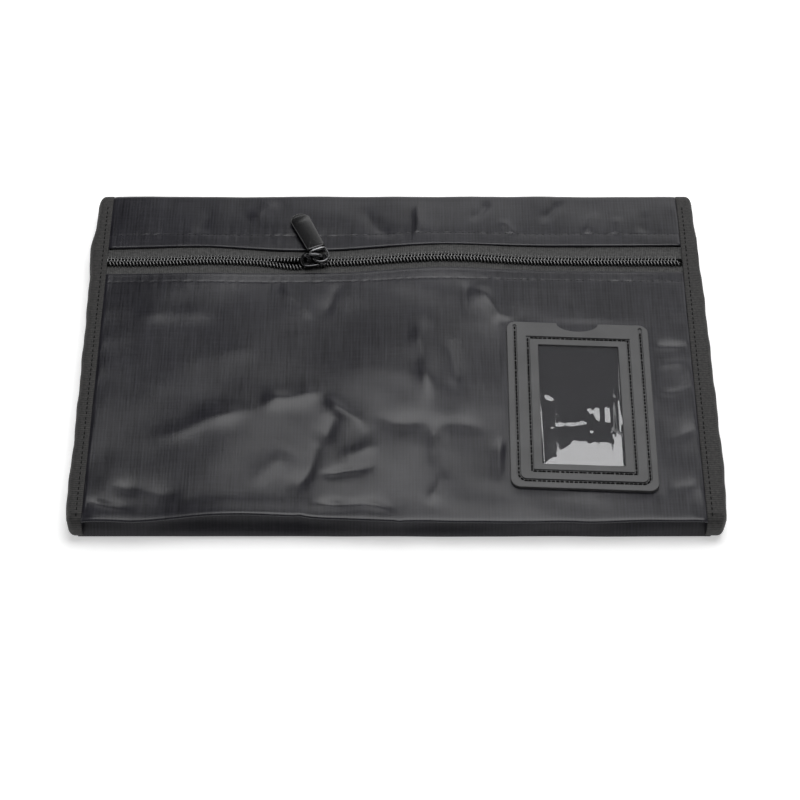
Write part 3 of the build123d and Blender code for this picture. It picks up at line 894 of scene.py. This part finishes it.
def arc(cx, cy, radius, start, end, count=10):
    a = np.radians(np.linspace(start, end, count))
    return list(zip(cx + radius * np.cos(a), cy + radius * np.sin(a)))


def rounded_rectangle(w, h, r, upper_edge=()):
    x, y = w / 2 - r, h / 2 - r
    return (arc(x, y, r, 0, 90) + list(upper_edge) + arc(-x, y, r, 90, 180)
            + arc(-x, -y, r, 180, 270) + arc(x, -y, r, 270, 360))


def holder_outline():
    """Outer outline of the holder with the thumb notch in its upper edge."""
    a = np.radians(np.linspace(0, -180, 19))
    notch = zip(NOTCH_W / 2 * np.cos(a), HOLDER_H / 2 + NOTCH_D * np.sin(a))
    return rounded_rectangle(HOLDER_W, HOLDER_H, CORNER, notch)


def groove_outline():
    """Outline of the U-shaped stitch groove, with round ends at the top."""
    w, g, r = OUTER_W / 2, GROOVE / 2, OUTER_CORNER
    low, high = OUTER_LOW, OUTER_HIGH
    outer = arc(-w + r, low + r, r + g, 180, 270) + arc(w - r, low + r, r + g, 270, 360)
    inner = arc(w - r, low + r, r - g, 360, 270) + arc(-w + r, low + r, r - g, 270, 180)
    return arc(-w, high, g, 0, 180) + outer + arc(w, high, g, 0, 180) + inner


def plate(outlines, low, high, bevel):
    """Flat moulding between two heights with rounded rims; later outlines are holes."""
    curve = bpy.data.curves.new("moulding", "CURVE")
    curve.dimensions, curve.fill_mode = "2D", "BOTH"
    for outline in outlines:
        spline = curve.splines.new("POLY")
        spline.points.add(len(outline) - 1)
        for point, (u, v) in zip(spline.points, outline):
            point.co = (u * MM, v * MM, 0, 1)
        spline.use_cyclic_u = True
    curve.extrude = ((high - low) / 2 - bevel) * MM
    curve.bevel_depth = bevel * MM
    curve.bevel_resolution = 3
    curve.offset = -bevel * MM
    obj = added("moulding", curve)
    mesh = evaluated(obj)
    points = np.array([v.co for v in mesh.vertices]) / MM
    points[:, 2] += (low + high) / 2
    faces = [tuple(p.vertices) for p in mesh.polygons]
    bpy.data.objects.remove(obj)
    return points, faces


def smooth_path(points, steps, closed=False):
    """Catmull-Rom curve through points."""
    p = np.asarray(points, float)
    if closed:
        p = np.concatenate([p[-1:], p, p[:2]])
    else:
        p = np.concatenate([2 * p[:1] - p[1:2], p, 2 * p[-1:] - p[-2:-1]])
    out = []
    for a, b, c, d in zip(p[:-3], p[1:-2], p[2:-1], p[3:]):
        for t in np.arange(steps) / steps:
            out.append(0.5 * (2 * b + (c - a) * t + (2 * a - 5 * b + 4 * c - d) * t * t
                              + (3 * b - 3 * c + d - a) * t ** 3))
    if not closed:
        out.append(p[-2])
    return np.array(out)


def dome(loop, thickness, bevel):
    """Slab over a closed outline with rounded rims, its top and bottom in rings to the middle."""
    middle = (loop.min(axis=0) + loop.max(axis=0)) / 2
    tangent = np.roll(loop, -1, 0) - np.roll(loop, 1, 0)
    tangent /= np.linalg.norm(tangent, axis=1)[:, None]
    inward = np.stack([-tangent[:, 1], tangent[:, 0]], axis=1)
    if ((middle - loop) * inward).sum() < 0:
        inward = -inward
    rows = []
    half = thickness / 2
    for side in (-1, 1):
        ring = []
        for a in np.radians(np.linspace(0, 90, 7)):
            inset = bevel * (1 - math.cos(a))
            ring.append((loop + inward * inset, side * (half - bevel + bevel * math.sin(a))))
        last = ring[-1][0]
        for t in (0.12, 0.3, 0.5, 0.7, 0.88, 1.0):
            spine = middle + (last - middle) * np.array((0.55, 0.0))
            ring.append((last + (spine - last) * t, side * half))
        rows += ring[::-1] if side < 0 else ring
    grid = np.array([np.column_stack([p, np.full(len(p), z)]) for p, z in rows])
    return grid.reshape(-1, 3), grid_faces(*grid.shape[:2], wrap_columns=True)


def holder_bend(x, y):
    """Slight warp of the soft holder, lying on a bag that isn't quite flat."""
    return HOLDER_BEND * ripple(np.asarray(x), np.asarray(y), 90, 5)


def in_place(points):
    """Holder-local points moved into the frame."""
    x, y = holder_world(points[:, 0], points[:, 1])
    return np.column_stack([x, y, points[:, 2] + holder_bend(x, y)])


def card_holder():
    floor = HOLDER_Z1 - GROOVE_DEPTH
    half_w, half_h = INNER_W / 2, INNER_H / 2
    a, b = half_w + GROOVE / 2, half_h + GROOVE / 2
    rim = [(-a, -b), (a, -b), (a, b), (-a, b)]
    inner_band = rounded_rectangle(INNER_W - GROOVE, INNER_H - GROOVE, 0.5)
    opening = rounded_rectangle(OPEN_W, OPEN_H, 0.5)
    shapes = [
        plate([holder_outline(), opening], HOLDER_Z0, floor + 0.25, 0.12),
        plate([holder_outline(), groove_outline(), rim], floor, HOLDER_Z1, RIM),
        plate([inner_band, opening], floor, HOLDER_Z1 - 0.05, RIM),
    ]
    points, faces = joined(shapes)
    piece("id_frame_moulding", (in_place(points), faces), RUBBER, "bag", "id_frame")

    def row(node, path):
        path = np.array(path, float)
        dense = []
        for a, b in zip(path[:-1], path[1:]):
            n = max(2, int(np.linalg.norm(b - a) / 0.5))
            dense += [a + (b - a) * t for t in np.linspace(0, 1, n, endpoint=False)]
        dense = np.array(dense)
        local = np.column_stack([dense, np.full(len(dense), floor + 0.32)])
        sew(node, in_place(local), 2.1, 0.72, 0.42, 0.5)

    w, r = OUTER_W / 2, OUTER_CORNER
    u_path = ([(-w, OUTER_HIGH)] + arc(-w + r, OUTER_LOW + r, r, 180, 270)
              + arc(w - r, OUTER_LOW + r, r, 270, 360) + [(w, OUTER_HIGH)])
    row("stitch_id_outer", u_path)
    row("stitch_id_inner", [(-half_w, half_h), (-half_w, -half_h), (half_w, -half_h), (half_w, half_h),
                            (-half_w, half_h)])


def film_height(u, v):
    """The film bellies up from its lower edge and its right side, with ragged crinkled limits."""
    left = 0.8 * (u + 17.5 - 0.95 * (v + 35.5))
    raised = np.minimum(-21.5 - v, left)
    raised = np.maximum(raised, np.minimum(u - 14.6, (5 - v) * 0.3))
    for (at_u, at_v), (half_u, half_v) in CRINKLES:
        reach = np.sqrt(((u - at_u) / half_u) ** 2 + ((v - at_v) / half_v) ** 2)
        raised = np.maximum(raised, (1 - reach) * min(half_u, half_v))
    raised = raised + 0.6 * ripple(u, v, 8, 41) + 0.6 * ripple(u, v, 3.2, 43)
    tilt = 0.092 * ease(raised + 0.5) + 0.002 * ripple(u, v, 12, 45)
    crease = v + 15.5 + 0.7 * (u - 17)
    tilt = tilt - 2.6 * bell(crease / 0.5) * ease((u - 13.5) / 3.5)
    tilt = tilt - tilt.mean(axis=1, keepdims=True)
    height = np.cumsum(tilt, axis=1) * (v[0, 1] - v[0, 0])
    for _ in range(8):
        padded = np.pad(height, ((1, 1), (0, 0)), mode="edge")
        height = (padded[:-2] + 2 * padded[1:-1] + padded[2:]) / 4
    return height * (1 - 0.65 * ease((abs(u) - OPEN_W / 2 + 0.9) / 1.2))


def window_film():
    u = np.linspace(-OPEN_W / 2 - FILM_MARGIN, OPEN_W / 2 + FILM_MARGIN, 110)
    v = np.linspace(-OPEN_H / 2 - FILM_MARGIN, OPEN_H / 2 + FILM_MARGIN, 190)
    uu, vv = np.meshgrid(u, v, indexing="ij")
    z = span("id_window")[1][2] - 0.2 + film_height(uu, vv)
    x, y = holder_world(uu, vv)
    grid = np.stack([x, y, z + holder_bend(x, y)], axis=-1)
    sheet = cloth_sheet("id_window_film", grid, 0.2, FILM, "id_window")


# ---------------------------------------------------------------- slider and pull tab
SLIDER_TAIL = 7.4  # width of its closed end
SLIDER_PLATES = ((10.15, 11.15), (14.35, 15.35))  # heights of the lower and the upper plate
POST_HALF = 0.4  # half the post's width
CROWN_SPAN = (-45.7, -36.9)
CROWN_RADIUS = 1.0
TAB_HINGE = (-39.4431, 60.0438, 16.75)
TAB_HEADING = math.radians(113.5)
TAB_DROOP = math.radians(2.5)
TAB_START, TAB_REACH, TAB_THICK = 1.0, 27.0, 1.9
TAB_NEAR, TAB_FAR = 4.6, 5.1  # half widths near the hinge and at the round end


def slider():
    """Two plates, the post between them and the crown, finer than the solid and in its place."""
    length = SLIDER[1][0] - SLIDER[0][0]
    wide, tail = (SLIDER[1][1] - SLIDER[0][1]) / 2, SLIDER_TAIL / 2
    shoulder = [(-0.5, 0.0), (-0.49, 0.35), (-0.44, 0.72), (-0.34, 0.95), (-0.22, 1.0), (-0.08, 0.97)]
    closed = [(0.08, 1.08), (0.2, 1.0), (0.36, 0.98), (0.46, 0.8), (0.5, 0.3)]
    side = [(SLIDER_X + s * length, w * wide) for s, w in shoulder]
    side += [(SLIDER_X + s * length, w * tail) for s, w in closed]
    outline = smooth_path(side + [(x, -w) for x, w in side[::-1][:-1]], 4, closed=True)
    shapes = []
    for low, high in SLIDER_PLATES:
        points, faces = plate([outline], low, high, 0.42)
        shapes.append((points + (0, ZIP_Y, 0), faces))
    post = [(SLIDER[0][0] + 1.2 + 1.5 * (1 + math.cos(a)), POST_HALF * math.sin(a))
            for a in np.linspace(0, 2 * math.pi, 24)[:-1]]
    points, faces = plate([post], SLIDER_PLATES[0][1] - 0.3, SLIDER_PLATES[1][0] + 0.3, 0.1)
    shapes.append((points + (0, ZIP_Y, 0), faces))
    top = SLIDER[1][2]
    left, right = CROWN_SPAN
    leg = ((0.5, 14.9), (0.45, 16.2), (0.7, 17.4), (1.6, 18.15), (3.0, top - 0.55))
    crown = [(left + inset, z) for inset, z in leg] + [((left + right) / 2, top - 0.5)]
    crown += [(right - inset, z) for inset, z in leg[::-1]]
    path = smooth_path([(x, ZIP_Y, z) for x, z in crown], 4)
    points, faces = tube(path, CROWN_RADIUS, 12)
    points[:, 1] = ZIP_Y + (points[:, 1] - ZIP_Y) * 0.95
    shapes.append((points, faces))
    piece("slider_body_casting", joined(shapes), SLIDER_PAINT, "slider", "slider_body")


def pull_tab():
    """Moulded cover of the tab, in its hinge's axes: along the tab and across it."""
    along = np.array((math.cos(TAB_HEADING), math.sin(TAB_HEADING), 0.0))
    across = np.array((math.sin(TAB_HEADING), -math.cos(TAB_HEADING), 0.0))
    start, reach, near, far = TAB_START, TAB_REACH, TAB_NEAR, TAB_FAR
    corner, turn = 0.9, np.linspace(0.25, math.pi - 0.25, 12)
    straight = [(start + (reach - far - start) * t, near + (far - near) * t) for t in (0.35, 0.7, 1.0)]
    loop = [(start, w) for w in (-near + corner, 0, near - corner)] + [(start + corner, near)] + straight
    loop += [(reach - far + far * math.sin(a), far * math.cos(a)) for a in turn]
    loop += [(along_tab, -w) for along_tab, w in straight[::-1]] + [(start + corner, -near)]
    points, faces = dome(smooth_path(loop, 3, closed=True), TAB_THICK, 0.7)
    s, w, h = points.T
    h = h - 0.9 * ease((s - reach + 9) / 9) ** 2 * (h > 0) - 0.25 * (w / far) ** 2 * (h > 0)
    drop = np.sin(TAB_DROOP) * s
    world = np.array(TAB_HINGE) + np.outer(s, along) + np.outer(w, across)
    world[:, 2] += h - drop
    piece("pull_tab_cover_moulding", (world, faces), TAB, "tab", "pull_tab_cover")


# ---------------------------------------------------------------- liner
LINER_DROP = 1.9  # from the bag's upper surface to the top of the liner
LINER_REAR = 96.0


def liners():
    def layer(name, grid, node):
        sheet = cloth_sheet(name, grid, 0.5, LINER, node)

    def below_cloth(y_low, y_high):
        xx, yy = np.meshgrid(X_CLOTH[::3], np.linspace(y_low, y_high, 50), indexing="ij")
        return np.stack([xx, yy, cloth_top(xx, yy) - LINER_DROP], axis=-1)

    layer("liner_front_cloth", below_cloth(Y_LIP + 5, ZIP_Y - TAPE_HALF - 0.5), "liner_front")
    layer("liner_top_cloth", below_cloth(ZIP_Y + TAPE_HALF + 0.5, LINER_REAR), "liner_top")
    xx, yy = np.meshgrid(X_CLOTH[::3], np.linspace(Y_LIP + 4, LINER_REAR, 50), indexing="ij")
    grid = np.stack([xx, yy, 1.9 + 0.2 * ripple(xx, yy, 70, 51)], axis=-1)
    layer("liner_back_cloth", grid, "liner_back")


outer_cloth()
gusset()
bindings()
zip_parts()
stitch_rows()
card_holder()
window_film()
liners()
slider()
pull_tab()
for node in ("pull_link", "pull_tab_core"):
    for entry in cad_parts[node].material_slots:
        entry.material = LINK_PAINT


# ---------------------------------------------------------------- floor, light, camera
def studio():
    floor = bpy.data.meshes.new("floor")
    size = 12.0
    corners = [(-size, -size, 0), (size, -size, 0), (size, size, 0), (-size, size, 0)]
    floor.from_pydata(corners, [], [(0, 1, 2, 3)])
    ground = added("floor", floor)
    ground.location.z = -0.0002
    paper, _, _ = new_material("floor_paper", (0.75, 0.75, 0.75), 0.9, Specular_IOR_Level=0.0,
                               Emission_Color=(1, 1, 1, 1), Emission_Strength=0.48)
    floor.materials.append(paper)

    world = bpy.data.worlds.new("studio")
    bpy.context.scene.world = world
    world.use_nodes = True
    tree = world.node_tree
    background = tree.nodes["Background"]
    background.inputs[0].default_value = (1, 1, 1, 1)
    direction = add_node(tree, "ShaderNodeTexCoord")
    split_up = add_node(tree, "ShaderNodeSeparateXYZ", [(0, direction.outputs["Generated"])])
    walls = add_node(tree, "ShaderNodeMapRange", [(0, split_up.outputs["Z"])],
                     interpolation_type="SMOOTHSTEP")
    for socket, value in (("From Min", 0.15), ("From Max", 0.4), ("To Min", 1.0), ("To Max", 0.03)):
        walls.inputs[socket].default_value = value
    tree.links.new(walls.outputs[0], background.inputs[1])

    def softbox(name, azimuth, elevation, distance, size, radiance):
        """A rectangular light that faces the bag; azimuth from +Y towards +X."""
        a, e = math.radians(azimuth), math.radians(elevation)
        light = bpy.data.lights.new(name, "AREA")
        light.shape, (light.size, light.size_y) = "RECTANGLE", size
        light.energy = radiance * math.pi * size[0] * size[1]
        lamp = added(name, light)
        towards = Vector((math.sin(a) * math.cos(e), math.cos(a) * math.cos(e), math.sin(e)))
        lamp.location = towards * distance
        lamp.rotation_euler = (-lamp.location).to_track_quat("-Z", "Y").to_euler()

    softbox("key_softbox", 32, 77, 1.2, (1.0, 0.74), 5.5)
    softbox("rear_softbox", 23, 31, 1.3, (1.3, 0.5), 2.0)
    softbox("left_strip", -75, 24, 1.3, (0.9, 0.2), 2.0)


def camera():
    lens = bpy.data.cameras.new("camera")
    lens.lens, lens.sensor_width = 105.75, 36.0
    lens.clip_start = 0.05
    eye = added("camera", lens)
    eye.location = (0.0015, -0.7141, 0.8867)
    eye.rotation_euler = (math.radians(38.0), 0, 0)
    bpy.context.scene.camera = eye


studio()
camera()
bpy.context.scene.view_settings.view_transform = "Standard"
